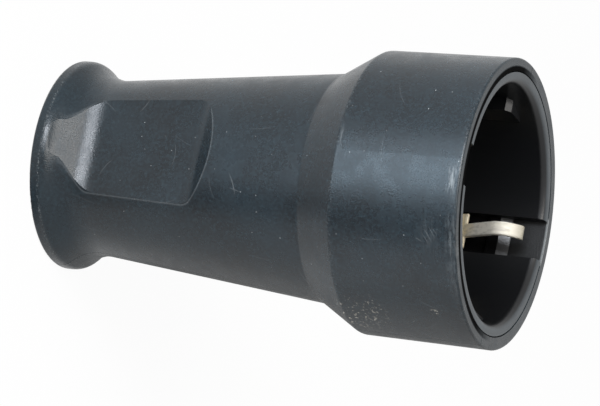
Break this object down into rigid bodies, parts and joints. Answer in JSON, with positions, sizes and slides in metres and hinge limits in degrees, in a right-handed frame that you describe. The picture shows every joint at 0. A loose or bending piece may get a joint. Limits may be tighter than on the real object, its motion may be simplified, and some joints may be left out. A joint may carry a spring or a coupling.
{
  "type": "inline socket connector",
  "caption": "Rubber-sleeved inline mains socket: round plug recess with key lugs and spring earth clips, tapered handle with thumb scoops and a flared cord collar.",
  "frame": {"origin": "centre of the rear collar's end face, on the axis, where the part stands", "axes": "+Z along the axis from the cord end to the mouth, +X through a thumb scoop and an earth clip, +Y through a contact"},
  "size_m": [0.0486, 0.0486, 0.0794],
  "materials": {
    "rubber": "satin moulded rubber, worn",
    "cup_plastic": "glossy moulded thermoset",
    "carrier_plastic": "moulded",
    "contact_brass": "turned",
    "plated_brass": "stamped, nickel-plated, edges worn",
    "fastener_steel": "zinc-plated"
  },
  "bodies": {
    "root": {"rubber_body": "rubber", "socket_cup": "cup_plastic", "contact_carrier": "carrier_plastic", "contact_left": "contact_brass", "contact_right": "contact_brass", "contact_springs": "fastener_steel", "contact_terminal_screws": "fastener_steel", "earth_bracket": "plated_brass", "earth_clamp_plate": "fastener_steel", "earth_terminal_screw": "fastener_steel", "insert_screw": "fastener_steel", "insert_nut": "fastener_steel", "cord_clamp": "carrier_plastic", "cord_clamp_screws": "fastener_steel"}
  },
  "joints": []
}
